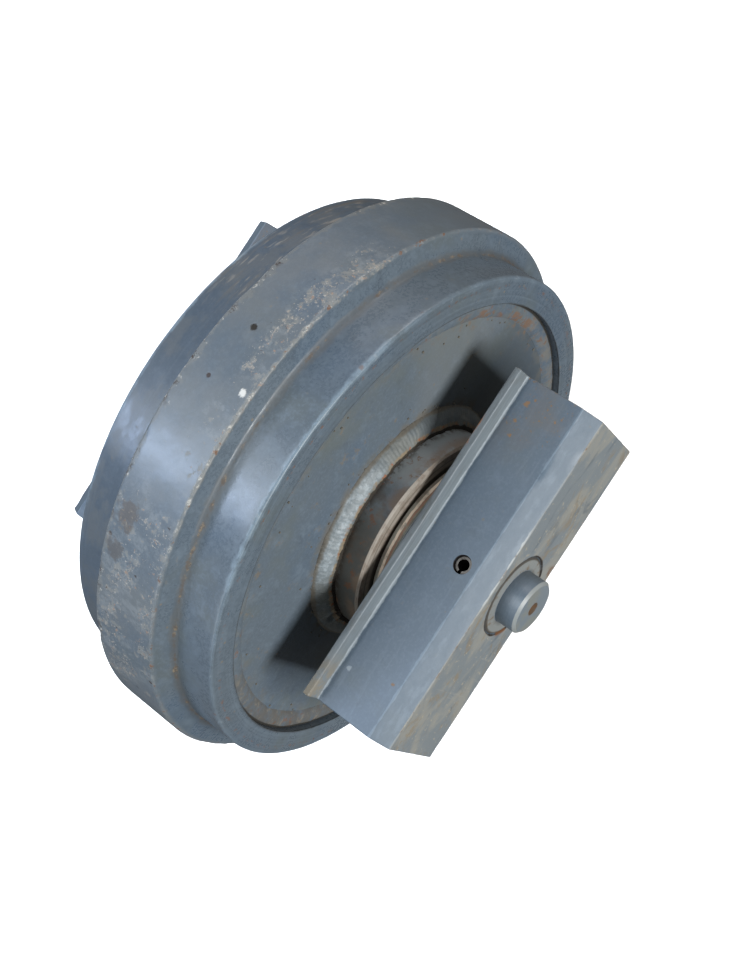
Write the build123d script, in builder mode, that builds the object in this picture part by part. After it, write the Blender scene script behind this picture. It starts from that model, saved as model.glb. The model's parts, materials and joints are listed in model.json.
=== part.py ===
"""Front idler (guide wheel) of a small tracked excavator, with its two sliding guide blocks.

The origin is the wheel's centre. The wheel spins about +Y, +Z is up and +X is the way the track
frame runs. The two halves are alike, so most pieces are made once for the left (+Y) side and once
for the right (-Y) side. Lengths are in millimetres.
"""

from build123d import *
import os

# ---------------------------------------------------------------- driving dimensions

# wheel rim: two treads with the wide guide flange between them
TREAD_R = 190.0
WHEEL_WIDTH = 125.0
FLANGE_R = 207.0
FLANGE_TOP_WIDTH = 51.0
FLANGE_ROOT_WIDTH = 58.6
FLANGE_ROOT_FILLET = 4.0
RIM_EDGE_FILLET = 2.5
RIM_BORE_R = 170.5
RIM_LAND_R = 164.0

# web plates, welded between rim and hub a little below the rim's side faces
WEB_RECESS = 6.8
WEB_T = 12.0

# weld beads, which fill a bevel and stand proud: the crown is measured from hub or rim and web face
WELD_PREP = 7.0
HUB_WELD_HEIGHT = 8.0
HUB_WELD_WIDTH = 15.0
HUB_WELD_CROWN = (8.8, 5.8)
RIM_WELD_HEIGHT = 1.2
RIM_WELD_WIDTH = 13.0
RIM_WELD_CROWN = (5.5, 2.4)

# hub, with bushing bores, an oil reservoir and a seal housing at each end
HUB_R = 77.0
HUB_LENGTH = 165.0
HUB_EDGE_CHAMFER = 1.5
RESERVOIR_R = 40.0
SEAL_HOUSING_R = 54.25
SEAL_HOUSING_DEPTH = 8.4

# axle with a stub at each end
AXLE_R = 30.0
STUB_R = 20.0
STUB_LENGTH = 16.0
STUB_CHAMFER = 2.0
CENTRE_HOLE_R = 4.8
CENTRE_HOLE_DEPTH = 8.0
RUNNING_CLEARANCE = 0.05

# flanged bushings
BUSH_WALL = 5.0
BUSH_LENGTH = 34.0
BUSH_FLANGE_R = 43.5
BUSH_FLANGE_T = 5.0
BUSH_FLANGE_RECESS = 3.0
BUSH_FLANGE_ROOM = 1.0

# floating face seals: two metal rings, each carried on a rubber ring
SEAL_RING_LENGTH = 8.0
SEAL_RING_BORE_R = 41.0
SEAL_RING_TAIL_R = 47.0
SEAL_RING_NECK_R = 48.5
SEAL_FLANGE_R = 52.0
SEAL_FLANGE_T = 2.5
SEAL_FACE_GAP = 0.2
TORIC_R = 3.2
TORIC_CENTRE_R = 50.95
TORIC_SETBACK = 5.9

# guide blocks, which slide fore and aft in the track frame
BLOCK_LENGTH = 252.4
BLOCK_INNER_Y = 92.2
BLOCK_OUTER_Y = 154.6
BLOCK_CHAMFER_Y = 142.0
WIDE_FACE_Z = 49.5
OUTER_FACE_Z = 38.0
LIP_T = 5.1
LIP_TOP_Z = 64.0
LIP_ROOT_FILLET = 2.0
LIP_TOP_FILLET = 1.0
BLOCK_EDGE_FILLET = 0.8
BLOCK_END_CHAMFER = 0.6
BOSS_R = 64.0
BOSS_FACE_Y = 84.5
NOSE_R = 38.0
THRUST_GAP = 0.4
BORE_CHAMFER = 1.2

# lock pins through block and axle, O-rings and oil plug
LOCK_PIN_Y = 130.9
LOCK_PIN_R = 6.5
LOCK_PIN_WALL = 2.5
LOCK_PIN_TOP_Z = 46.5
LOCK_PIN_LENGTH = 87.0
LOCK_HOLE_END_Z = -41.0
LOCK_PIN_SLOT = 2.4
LOCK_PIN_CHAMFER = 0.8
O_RING_Y = 107.0
O_RING_R = 1.6
O_RING_GROOVE_WIDTH = 4.4
PLUG_X = 24.9
PLUG_R = 4.0
PLUG_LENGTH = 9.0
PLUG_SOCKET_FLATS = 4.0
PLUG_SOCKET_DEPTH = 4.5
OIL_DRILL_R = 2.0
OIL_DRILL_END_Y = 12.0

# ---------------------------------------------------------------- worked out from them

RIM_FACE_Y = WHEEL_WIDTH / 2
WEB_FACE_Y = RIM_FACE_Y - WEB_RECESS
WEB_BACK_Y = WEB_FACE_Y - WEB_T
HUB_END_Y = HUB_LENGTH / 2
SEAL_HOUSING_Y = HUB_END_Y - SEAL_HOUSING_DEPTH
BUSH_FLANGE_Y = SEAL_HOUSING_Y - BUSH_FLANGE_RECESS
BUSH_SEAT_Y = BUSH_FLANGE_Y - BUSH_FLANGE_T
BUSH_INNER_Y = BUSH_SEAT_Y - BUSH_LENGTH
BUSH_BORE_R = AXLE_R + RUNNING_CLEARANCE
BUSH_R = BUSH_BORE_R + BUSH_WALL
SEAL_PLANE_Y = (HUB_END_Y + BOSS_FACE_Y) / 2
SEAL_FLOOR_Y = BOSS_FACE_Y + SEAL_HOUSING_DEPTH
NOSE_Y = BUSH_FLANGE_Y + THRUST_GAP
STUB_END_Y = BLOCK_OUTER_Y + STUB_LENGTH

SIDES = {"left": 1, "right": -1}
CUT_OVERSHOOT = 1.0
SAME_POINT = 0.01


def place(points, side):
    """(radius, distance along the axle) points of the left half, taken to one side."""
    return [(radius, side * along) for radius, along in points]


def corners_at(sketch, points):
    """The sketch's corners that lie at any of the points."""
    return [
        corner
        for corner in sketch.vertices()
        if any(abs(corner.X - x) < SAME_POINT and abs(corner.Y - y) < SAME_POINT for x, y in points)
    ]


def save(piece, name):
    """Label a finished piece and write it as parts/NAME.step."""
    piece.part.label = name
    export_step(piece.part, f"parts/{name}.step")
    print(f"{name}: {piece.part.volume / 1000:.1f} cm3")


# ---------------------------------------------------------------- wheel


def make_rim():
    tread_edge = [(TREAD_R, RIM_FACE_Y), (TREAD_R, -RIM_FACE_Y)]
    flange_root = [(TREAD_R, FLANGE_ROOT_WIDTH / 2), (TREAD_R, -FLANGE_ROOT_WIDTH / 2)]
    flange_top = [(FLANGE_R, FLANGE_TOP_WIDTH / 2), (FLANGE_R, -FLANGE_TOP_WIDTH / 2)]
    seat = [(RIM_BORE_R, WEB_BACK_Y), (RIM_LAND_R, WEB_BACK_Y)]
    with BuildPart() as rim:
        with BuildSketch() as section:
            with BuildLine():
                Polyline(
                    (RIM_BORE_R, RIM_FACE_Y),
                    tread_edge[0],
                    flange_root[0],
                    flange_top[0],
                    flange_top[1],
                    flange_root[1],
                    tread_edge[1],
                    (RIM_BORE_R, -RIM_FACE_Y),
                    (RIM_BORE_R, -WEB_BACK_Y),
                    (RIM_LAND_R, -WEB_BACK_Y),
                    seat[1],
                    seat[0],
                    close=True,
                )
            make_face()
            fillet(corners_at(section.sketch_local, tread_edge + flange_top), RIM_EDGE_FILLET)
            fillet(corners_at(section.sketch_local, flange_root), FLANGE_ROOT_FILLET)
        revolve(axis=Axis.Y)
    save(rim, "rim")


def make_web_plate(side, name):
    """Flat ring, bevelled at both welded edges."""
    with BuildPart() as web_plate:
        with BuildSketch():
            with BuildLine():
                points = [
                    (HUB_R, WEB_BACK_Y),
                    (HUB_R, WEB_FACE_Y - WELD_PREP),
                    (HUB_R + WELD_PREP, WEB_FACE_Y),
                    (RIM_BORE_R - WELD_PREP, WEB_FACE_Y),
                    (RIM_BORE_R, WEB_FACE_Y - WELD_PREP),
                    (RIM_BORE_R, WEB_BACK_Y),
                ]
                Polyline(*place(points, side), close=True)
            make_face()
        revolve(axis=Axis.Y)
    save(web_plate, name)


def make_hub():
    """Thick tube: bushing bores each side of the oil reservoir, a seal housing at each end."""
    half = [
        (RESERVOIR_R, BUSH_INNER_Y),
        (BUSH_R, BUSH_INNER_Y),
        (BUSH_R, BUSH_SEAT_Y),
        (BUSH_FLANGE_R + BUSH_FLANGE_ROOM, BUSH_SEAT_Y),
        (BUSH_FLANGE_R + BUSH_FLANGE_ROOM, SEAL_HOUSING_Y),
        (SEAL_HOUSING_R, SEAL_HOUSING_Y),
        (SEAL_HOUSING_R, HUB_END_Y - HUB_EDGE_CHAMFER),
        (SEAL_HOUSING_R + HUB_EDGE_CHAMFER, HUB_END_Y),
        (HUB_R - HUB_EDGE_CHAMFER, HUB_END_Y),
        (HUB_R, HUB_END_Y - HUB_EDGE_CHAMFER),
    ]
    with BuildPart() as hub:
        with BuildSketch():
            with BuildLine():
                Polyline(*half, *place(reversed(half), -1), close=True)
            make_face()
        revolve(axis=Axis.Y)
    save(hub, "hub")


def make_weld_ring(name, side, prep_edge, wall_root, wall_toe, crown, face_toe):
    """Round weld bead: it fills the bevel and stands up as a crowned fillet."""
    with BuildPart() as weld:
        with BuildSketch():
            with BuildLine():
                prep, root, toe, top, end = place([prep_edge, wall_root, wall_toe, crown, face_toe], side)
                Polyline(end, prep, root, toe)
                ThreePointArc(toe, top, end)
            make_face()
        revolve(axis=Axis.Y)
    save(weld, name)


def make_hub_weld(side, name):
    make_weld_ring(
        name,
        side,
        prep_edge=(HUB_R + WELD_PREP, WEB_FACE_Y),
        wall_root=(HUB_R, WEB_FACE_Y - WELD_PREP),
        wall_toe=(HUB_R, WEB_FACE_Y + HUB_WELD_HEIGHT),
        crown=(HUB_R + HUB_WELD_CROWN[0], WEB_FACE_Y + HUB_WELD_CROWN[1]),
        face_toe=(HUB_R + HUB_WELD_WIDTH, WEB_FACE_Y),
    )


def make_rim_weld(side, name):
    make_weld_ring(
        name,
        side,
        prep_edge=(RIM_BORE_R - WELD_PREP, WEB_FACE_Y),
        wall_root=(RIM_BORE_R, WEB_FACE_Y - WELD_PREP),
        wall_toe=(RIM_BORE_R, WEB_FACE_Y + RIM_WELD_HEIGHT),
        crown=(RIM_BORE_R - RIM_WELD_CROWN[0], WEB_FACE_Y + RIM_WELD_CROWN[1]),
        face_toe=(RIM_BORE_R - RIM_WELD_WIDTH, WEB_FACE_Y),
    )


def make_bushing(side, name):
    """Flanged bushing, pressed into the hub; its flange takes the end thrust of the block's nose."""
    with BuildPart() as bushing:
        with BuildSketch():
            with BuildLine():
                points = [
                    (BUSH_BORE_R, BUSH_INNER_Y),
                    (BUSH_R, BUSH_INNER_Y),
                    (BUSH_R, BUSH_SEAT_Y),
                    (BUSH_FLANGE_R, BUSH_SEAT_Y),
                    (BUSH_FLANGE_R, BUSH_FLANGE_Y),
                    (BUSH_BORE_R, BUSH_FLANGE_Y),
                ]
                Polyline(*place(points, side), close=True)
            make_face()
        revolve(axis=Axis.Y)
    save(bushing, name)


# ---------------------------------------------------------------- floating face seals


def make_seal_ring(side, name, away):
    """Metal seal ring: its face lies on the seal plane and its tail points away from it."""
    face = SEAL_PLANE_Y + away * SEAL_FACE_GAP / 2
    neck = face + away * SEAL_FLANGE_T
    tail = face + away * SEAL_RING_LENGTH
    with BuildPart() as seal_ring:
        with BuildSketch():
            with BuildLine():
                points = [
                    (SEAL_RING_BORE_R, face),
                    (SEAL_FLANGE_R, face),
                    (SEAL_FLANGE_R, neck),
                    (SEAL_RING_NECK_R, neck),
                    (SEAL_RING_TAIL_R, tail),
                    (SEAL_RING_BORE_R, tail),
                ]
                Polyline(*place(points, side), close=True)
            make_face()
        revolve(axis=Axis.Y)
    save(seal_ring, name)


def make_toric_ring(side, name, away):
    """Rubber ring that squeezes between a seal ring's taper and its housing."""
    with BuildPart() as toric:
        with BuildSketch():
            with Locations((TORIC_CENTRE_R, side * (SEAL_PLANE_Y + away * TORIC_SETBACK))):
                Circle(TORIC_R)
        revolve(axis=Axis.Y)
    save(toric, name)


# ---------------------------------------------------------------- axle and its small parts


def make_axle():
    """Shaft with stubs, O-ring grooves, lock pin holes, centre holes and an oil drilling."""
    groove = O_RING_GROOVE_WIDTH / 2
    floor = AXLE_R - 2 * O_RING_R
    half = [
        (0, STUB_END_Y - CENTRE_HOLE_DEPTH),
        (CENTRE_HOLE_R, STUB_END_Y),
        (STUB_R - STUB_CHAMFER, STUB_END_Y),
        (STUB_R, STUB_END_Y - STUB_CHAMFER),
        (STUB_R, BLOCK_OUTER_Y),
        (AXLE_R - BORE_CHAMFER, BLOCK_OUTER_Y),
        (AXLE_R, BLOCK_OUTER_Y - BORE_CHAMFER),
        (AXLE_R, O_RING_Y + groove),
        (floor, O_RING_Y + groove),
        (floor, O_RING_Y - groove),
        (AXLE_R, O_RING_Y - groove),
    ]
    with BuildPart() as axle:
        with BuildSketch():
            with BuildLine():
                Polyline(*half, *place(reversed(half), -1), close=True)
            make_face()
        revolve(axis=Axis.Y)
        with BuildSketch(Plane.XY):
            with Locations((0, LOCK_PIN_Y), (0, -LOCK_PIN_Y)):
                Circle(LOCK_PIN_R)
        extrude(amount=AXLE_R + CUT_OVERSHOOT, both=True, mode=Mode.SUBTRACT)
        with BuildSketch(Plane.XZ.offset(BLOCK_OUTER_Y)):
            with Locations((PLUG_X, 0)):
                Circle(PLUG_R)
        extrude(amount=-PLUG_LENGTH, mode=Mode.SUBTRACT)
        with BuildSketch(Plane.XZ.offset(BLOCK_OUTER_Y)):
            with Locations((PLUG_X, 0)):
                Circle(OIL_DRILL_R)
        extrude(amount=-(BLOCK_OUTER_Y - OIL_DRILL_END_Y), mode=Mode.SUBTRACT)
        with BuildSketch(Plane.YZ.offset(PLUG_X)):
            with Locations((-OIL_DRILL_END_Y - OIL_DRILL_R, 0)):
                Circle(OIL_DRILL_R)
        extrude(amount=AXLE_R - PLUG_X + CUT_OVERSHOOT, mode=Mode.SUBTRACT)
    save(axle, "axle")


def make_o_ring(side, name):
    """O-ring in the axle's groove, inside the block's bore."""
    with BuildPart() as o_ring:
        with BuildSketch():
            with Locations((AXLE_R - O_RING_R, side * O_RING_Y)):
                Circle(O_RING_R)
        revolve(axis=Axis.Y)
    save(o_ring, name)


def make_oil_plug():
    """Threaded plug with a hexagon socket, in the axle's right-hand shoulder."""
    with BuildPart() as oil_plug:
        with BuildSketch(Plane.XZ.offset(BLOCK_OUTER_Y)):
            with Locations((PLUG_X, 0)):
                Circle(PLUG_R)
        extrude(amount=-PLUG_LENGTH)
        with BuildSketch(Plane.XZ.offset(BLOCK_OUTER_Y)):
            with Locations((PLUG_X, 0)):
                RegularPolygon(PLUG_SOCKET_FLATS / 2, 6, major_radius=False)
        extrude(amount=-PLUG_SOCKET_DEPTH, mode=Mode.SUBTRACT)
    save(oil_plug, "oil_plug")


def make_lock_pin(side, name):
    """Slotted spring pin, which keeps the axle from turning or sliding in its block."""
    with BuildPart() as lock_pin:
        with BuildSketch(Plane.XY.offset(LOCK_PIN_TOP_Z - LOCK_PIN_LENGTH)):
            with Locations((0, side * LOCK_PIN_Y)):
                Circle(LOCK_PIN_R)
                Circle(LOCK_PIN_R - LOCK_PIN_WALL, mode=Mode.SUBTRACT)
            with Locations((LOCK_PIN_R, side * LOCK_PIN_Y)):
                Rectangle(2 * LOCK_PIN_R, LOCK_PIN_SLOT, mode=Mode.SUBTRACT)
        extrude(amount=LOCK_PIN_LENGTH)
        ends = lock_pin.faces().filter_by(Axis.Z)
        chamfer(ends.edges().filter_by(GeomType.CIRCLE).sort_by(SortBy.RADIUS)[-2:], LOCK_PIN_CHAMFER)
    save(lock_pin, name)


# ---------------------------------------------------------------- guide blocks


def make_guide_block(side, name):
    """Long slide block: guide lips inside, wide top and bottom slide faces, chamfered outer face."""
    upper = [
        (BLOCK_INNER_Y, LIP_TOP_Z),
        (BLOCK_INNER_Y + LIP_T, LIP_TOP_Z),
        (BLOCK_INNER_Y + LIP_T, WIDE_FACE_Z),
        (BLOCK_CHAMFER_Y, WIDE_FACE_Z),
        (BLOCK_OUTER_Y, OUTER_FACE_Z),
    ]
    lower = [(along, -height) for along, height in reversed(upper)]
    outline = [(side * along, height) for along, height in upper + lower]
    lip_tops = [outline[0], outline[1], outline[-2], outline[-1]]
    lip_roots = [outline[2], outline[-3]]
    long_edges = [outline[3], outline[4], outline[5], outline[6]]
    with BuildPart() as guide_block:
        with BuildSketch(Plane.YZ) as section:
            with BuildLine():
                Polyline(*outline, close=True)
            make_face()
            for points, radius in (
                (lip_tops, LIP_TOP_FILLET),
                (lip_roots, LIP_ROOT_FILLET),
                (long_edges, BLOCK_EDGE_FILLET),
            ):
                fillet(corners_at(section.sketch_local, points), radius)
        extrude(amount=BLOCK_LENGTH / 2, both=True)
        chamfer(guide_block.faces().filter_by(Axis.X).edges(), BLOCK_END_CHAMFER)
        with BuildSketch():
            with BuildLine():
                boss = [(0, BOSS_FACE_Y), (BOSS_R, BOSS_FACE_Y), (BOSS_R, BLOCK_INNER_Y), (0, BLOCK_INNER_Y)]
                Polyline(*place(boss, side), close=True)
            make_face()
        revolve(axis=Axis.Y)
        with BuildSketch():
            with BuildLine():
                housing = [
                    (NOSE_R, BOSS_FACE_Y),
                    (SEAL_HOUSING_R, BOSS_FACE_Y),
                    (SEAL_HOUSING_R, SEAL_FLOOR_Y),
                    (NOSE_R, SEAL_FLOOR_Y),
                ]
                Polyline(*place(housing, side), close=True)
            make_face()
        revolve(axis=Axis.Y, mode=Mode.SUBTRACT)
        with BuildSketch():
            with BuildLine():
                nose = [(0, NOSE_Y), (NOSE_R, NOSE_Y), (NOSE_R, SEAL_FLOOR_Y), (0, SEAL_FLOOR_Y)]
                Polyline(*place(nose, side), close=True)
            make_face()
        revolve(axis=Axis.Y)
        with BuildSketch():
            with BuildLine():
                bore = [
                    (0, NOSE_Y),
                    (AXLE_R, NOSE_Y),
                    (AXLE_R, BLOCK_OUTER_Y - BORE_CHAMFER),
                    (AXLE_R + BORE_CHAMFER, BLOCK_OUTER_Y),
                    (0, BLOCK_OUTER_Y),
                ]
                Polyline(*place(bore, side), close=True)
            make_face()
        revolve(axis=Axis.Y, mode=Mode.SUBTRACT)
        # the lock pin's hole is blind, so that the pin can't drop out of the lower face
        with BuildSketch(Plane.XY.offset(LOCK_HOLE_END_Z)):
            with Locations((0, side * LOCK_PIN_Y)):
                Circle(LOCK_PIN_R)
        extrude(amount=WIDE_FACE_Z + CUT_OVERSHOOT - LOCK_HOLE_END_Z, mode=Mode.SUBTRACT)
    save(guide_block, name)


# ---------------------------------------------------------------- build everything

os.makedirs("parts", exist_ok=True)

make_rim()
make_hub()
make_axle()
make_oil_plug()
for side_name, sign in SIDES.items():
    make_web_plate(sign, f"web_plate_{side_name}")
    make_hub_weld(sign, f"hub_weld_{side_name}")
    make_rim_weld(sign, f"rim_weld_{side_name}")
    make_bushing(sign, f"bushing_{side_name}")
    make_seal_ring(sign, f"rotating_seal_ring_{side_name}", away=-1)
    make_toric_ring(sign, f"rotating_toric_ring_{side_name}", away=-1)
    make_seal_ring(sign, f"fixed_seal_ring_{side_name}", away=1)
    make_toric_ring(sign, f"fixed_toric_ring_{side_name}", away=1)
    make_guide_block(sign, f"guide_block_{side_name}")
    make_lock_pin(sign, f"lock_pin_{side_name}")
    make_o_ring(sign, f"axle_o_ring_{side_name}")
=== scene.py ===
"""Looks of the front idler: worn blue-grey paint, rust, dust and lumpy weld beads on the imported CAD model.

Lengths are in metres in the CAD frame: the origin is the wheel's centre, +Y runs along the axle
towards the left block, +Z is up and +X runs along the blocks. A turn about the axle is 0 at +Z and
grows towards +X.
"""

import json
from math import cos, pi, radians, sin

import bmesh
import bpy
import numpy as np
from mathutils import Matrix, Vector, noise


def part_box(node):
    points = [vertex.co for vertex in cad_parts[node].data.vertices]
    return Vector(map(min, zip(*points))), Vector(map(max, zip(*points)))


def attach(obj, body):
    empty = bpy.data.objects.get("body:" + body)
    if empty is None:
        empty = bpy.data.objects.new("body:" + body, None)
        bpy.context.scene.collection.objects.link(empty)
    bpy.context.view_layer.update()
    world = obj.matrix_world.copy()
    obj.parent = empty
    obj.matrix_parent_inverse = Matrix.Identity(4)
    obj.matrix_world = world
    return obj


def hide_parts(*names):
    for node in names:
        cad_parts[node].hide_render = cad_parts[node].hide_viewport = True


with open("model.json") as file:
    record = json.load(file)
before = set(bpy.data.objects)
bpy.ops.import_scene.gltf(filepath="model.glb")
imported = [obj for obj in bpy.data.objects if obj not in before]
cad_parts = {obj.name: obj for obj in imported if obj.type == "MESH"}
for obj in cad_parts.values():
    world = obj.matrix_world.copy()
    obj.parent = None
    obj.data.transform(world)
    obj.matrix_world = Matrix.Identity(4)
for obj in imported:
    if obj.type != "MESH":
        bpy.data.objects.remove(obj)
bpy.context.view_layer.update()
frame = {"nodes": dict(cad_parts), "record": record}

SIDES = {"left": 1, "right": -1}
MM = 0.001

# ---------------------------------------------------------------- sizes, read from the frame


def section_points(node):
    """A turned node's vertices as (radius, place along the axle)."""
    points = np.array([vertex.co for vertex in frame["nodes"][node].data.vertices])
    return np.column_stack([np.hypot(points[:, 0], points[:, 2]), points[:, 1]])


def section_of(node, inside):
    """A turned node's section points, in order round a point inside it."""
    section = np.unique(np.round(section_points(node), 5), axis=0)
    turn = np.arctan2(section[:, 1] - inside[1], section[:, 0] - inside[0])
    return section[np.argsort(turn)]


WEB_FACE_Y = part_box("web_plate_left")[1].y
HUB_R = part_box("hub")[1].x
HUB_END_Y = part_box("hub")[1].y
RIM_FACE_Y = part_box("rim")[1].y
FLANGE_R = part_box("rim")[1].x
RIM_BORE_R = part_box("web_plate_left")[1].x
HUB_WELD_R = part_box("hub_weld_left")[1].x
RIM_WELD_R = section_points("rim_weld_left")[:, 0].min()
BLOCK_OUTER_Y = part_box("guide_block_left")[1].y
LIP_TOP_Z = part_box("guide_block_left")[1].z
BLOCK_END_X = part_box("guide_block_left")[1].x
STUB_END_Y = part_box("axle")[1].y

# the corners of sections that no box gives
TREAD_R = 190 * MM
FLANGE_TOP_Y = 25.5 * MM
FLANGE_ROOT_Y = 29.3 * MM
LIP_WALL_Y = 97.3 * MM
WIDE_FACE_Z = 49.5 * MM
BLOCK_INNER_Y = 92.2 * MM
CHAMFER_Y = 142 * MM
OUTER_FACE_Z = 38 * MM
BOSS_R = 64 * MM
AXLE_R = 30 * MM
STUB_R = 20 * MM
PIN_HOLE_R = 6.5 * MM


# ---------------------------------------------------------------- colours


def srgb(*channels):
    """A display colour, 0 to 255, as the linear colour that shaders take."""
    shares = [channel / 255 for channel in channels]
    linear = [share / 12.92 if share <= 0.04045 else ((share + 0.055) / 1.055) ** 2.4 for share in shares]
    return (*linear, 1.0)


PAINT = srgb(94, 106, 117)
PAINT_COOL = srgb(84, 101, 119)
PAINT_GREEN = srgb(95, 104, 106)
PAINT_PALE = srgb(122, 137, 151)
PAINT_DARK = srgb(62, 70, 80)
# dark grime, also used as painted shade in the rim's bore and at its weld
GRIME_AND_SHADE = srgb(46, 44, 40)
MUD = srgb(134, 118, 92)
RUST = srgb(116, 80, 54)
RUST_BRIGHT = srgb(146, 98, 62)
RUST_DARK = srgb(60, 44, 36)
CHALK = srgb(205, 203, 196)
BEIGE = srgb(168, 152, 128)


# ---------------------------------------------------------------- materials


class Look:
    """One material's look, in coats: each blends its colour, roughness and height over the last.

    Patterns are laid out in the piece's own coordinates, in metres, so they turn with it.
    """

    def __init__(self, name, colour, roughness, metallic=0.0):
        self.material = bpy.data.materials.new(name)
        self.material.use_nodes = True
        self.tree = self.material.node_tree
        self.shader = self.tree.nodes["Principled BSDF"]
        self.colour, self.roughness, self.metallic, self.height = colour, roughness, metallic, 0.0
        self.place = self.add("ShaderNodeTexCoord").outputs["Object"]
        self.x, self.y, self.z = self.add("ShaderNodeSeparateXYZ", {0: self.place}).outputs
        self.radius = self.hypot(self.x, self.z)
        self.along = self.math("ABSOLUTE", self.y)
        self.level = self.math("ABSOLUTE", self.z)
        self.turn = self.math("DEGREES", self.math("ARCTAN2", self.x, self.z))

    def add(self, kind, inputs=None, **settings):
        """A new node: settings are its options, and inputs are numbers or other nodes' sockets."""
        node = self.tree.nodes.new(kind)
        for name, value in settings.items():
            setattr(node, name, value)
        for key, value in (inputs or {}).items():
            self.set(node.inputs[key], value)
        return node

    def set(self, socket, value):
        """Sets a socket to a number or colour, or links another node's socket to it."""
        if isinstance(value, bpy.types.NodeSocket):
            self.tree.links.new(value, socket)
        else:
            socket.default_value = value

    def math(self, operation, *values):
        return self.add("ShaderNodeMath", dict(enumerate(values)), operation=operation).outputs[0]

    def times(self, *values):
        result = values[0]
        for value in values[1:]:
            result = self.math("MULTIPLY", result, value)
        return result

    def plus(self, a, b):
        return self.math("ADD", a, b)

    def hypot(self, a, b):
        return self.math("SQRT", self.math("MULTIPLY_ADD", a, a, self.math("MULTIPLY", b, b)))

    def either(self, *values):
        result = values[0]
        for value in values[1:]:
            result = self.math("MAXIMUM", result, value)
        return result

    def fade(self, value, start, end):
        """0 where value is at start and 1 at end, with a smooth step between."""
        inputs = {"Value": value, "From Min": start, "From Max": end}
        return self.add("ShaderNodeMapRange", inputs, interpolation_type="SMOOTHSTEP").outputs["Result"]

    def band(self, value, start, end, edge):
        """1 where value lies between start and end, and 0 beyond a soft edge outside them."""
        return self.times(self.fade(value, start - edge, start), self.fade(value, end + edge, end))

    def stretch(self, x, y, z):
        """The place with each axis scaled, for patterns drawn out along one of them."""
        inputs = {0: self.place, 1: (x, y, z)}
        return self.add("ShaderNodeVectorMath", inputs, operation="MULTIPLY").outputs[0]

    def noise(self, scale, detail=3.0, rough=0.55, place=None, swirl=0.0):
        inputs = {"Vector": place or self.place, "Scale": scale, "Detail": detail}
        inputs |= {"Roughness": rough, "Distortion": swirl}
        return self.add("ShaderNodeTexNoise", inputs).outputs[0]

    def patches(self, scale, start, end, detail=4, rough=0.65, place=None, swirl=0.0):
        """Noise as patches: 0 where it is at start and 1 where it is at end."""
        return self.fade(self.noise(scale, detail, rough, place, swirl), start, end)

    def shaken(self, value, reach, scale, rough=0.65):
        """The value shifted by noise, at most half of reach either way."""
        shift = self.times(self.math("SUBTRACT", self.noise(scale, 4, rough), 0.5), reach)
        return self.plus(value, shift)

    def turned_noise(self, fine, slow, detail=2.0):
        """Noise in fine rings about the axle, which changes slowly along each ring."""
        radius, along = self.times(self.radius, fine), self.times(self.y, fine)
        across, up = self.times(self.x, slow), self.times(self.z, slow)
        place = self.add("ShaderNodeCombineXYZ", {0: radius, 1: along, 2: across}).outputs[0]
        inputs = {"Vector": place, "W": up, "Scale": 1.0, "Detail": detail}
        return self.add("ShaderNodeTexNoise", inputs, noise_dimensions="4D").outputs[0]

    def specks(self, scale, share, size=0.25):
        """Small ragged spots in about that share of the cells."""
        cells = self.add("ShaderNodeTexVoronoi", {"Vector": self.place, "Scale": scale})
        chosen = self.add("ShaderNodeSeparateColor", {0: cells.outputs["Color"]}).outputs[0]
        ragged = self.math("MULTIPLY_ADD", self.noise(scale * 2.5, 3), size, cells.outputs["Distance"])
        chosen = self.fade(chosen, 1 - share, 1 - share + 0.02)
        return self.times(self.fade(ragged, size * 1.5, size), chosen)

    def flakes(self, scale, zone, rare=0.66, common=0.5):
        """Ragged flakes, rare where zone is 0 and common where it is 1."""
        edge = self.blend(zone, rare, common)
        above = self.math("SUBTRACT", self.noise(scale, 5, 0.62), edge)
        return self.fade(above, 0.0, 0.045)

    def ring_line(self, radius, along, reach, ragged=0.6, scale=90, across=None):
        """1 on the ring edge at that radius and place along the axle, ragged towards its reach."""
        off_radius = self.math("SUBTRACT", self.radius, radius)
        off_along = self.math("SUBTRACT", across or self.along, along)
        return self.line(off_radius, off_along, reach, ragged, scale)

    def long_line(self, along, height, reach, ragged=0.6, scale=90):
        """The same for the straight edges that run along X, at that |Y| and |Z|."""
        off_along = self.math("SUBTRACT", self.along, along)
        off_height = self.math("SUBTRACT", self.level, height)
        return self.line(off_along, off_height, reach, ragged, scale)

    def line(self, a, b, reach, ragged, scale):
        """1 where both distances are 0, fading out by reach, with a ragged outline."""
        return self.fade(self.shaken(self.hypot(a, b), 4 * ragged * reach, scale), reach, reach * 0.35)

    def spot(self, place, size, ragged=0.5):
        """1 round one place, with a ragged outline."""
        ends = {0: self.place, 1: place}
        away = self.add("ShaderNodeVectorMath", ends, operation="DISTANCE").outputs["Value"]
        return self.fade(self.shaken(away, 2 * ragged * size, 1.2 / size, 0.6), size, size * 0.5)

    def blend(self, share, low, high):
        """Numbers or sockets mixed: low where share is 0 and high where it is 1."""
        return self.add("ShaderNodeMix", {0: share, 2: low, 3: high}, data_type="FLOAT").outputs[0]

    def coat(self, share, colour, roughness=None, height=0.0, metallic=None):
        """Lays a colour over the look so far where share is 1, or where each of several shares is.

        Height, in metres, raises or sinks the surface there.
        """
        if isinstance(share, tuple):
            share = self.times(*share)
        colours = {0: share, 6: self.colour, 7: colour}
        self.colour = self.add("ShaderNodeMix", colours, data_type="RGBA").outputs[2]
        if roughness is not None:
            self.roughness = self.blend(share, self.roughness, roughness)
        if metallic is not None:
            self.metallic = self.blend(share, self.metallic, metallic)
        if height:
            self.height = self.math("MULTIPLY_ADD", share, height, self.height)

    def relief(self, pattern, height):
        """Adds a pattern's relief without a colour of its own."""
        self.height = self.math("MULTIPLY_ADD", pattern, height, self.height)

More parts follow.
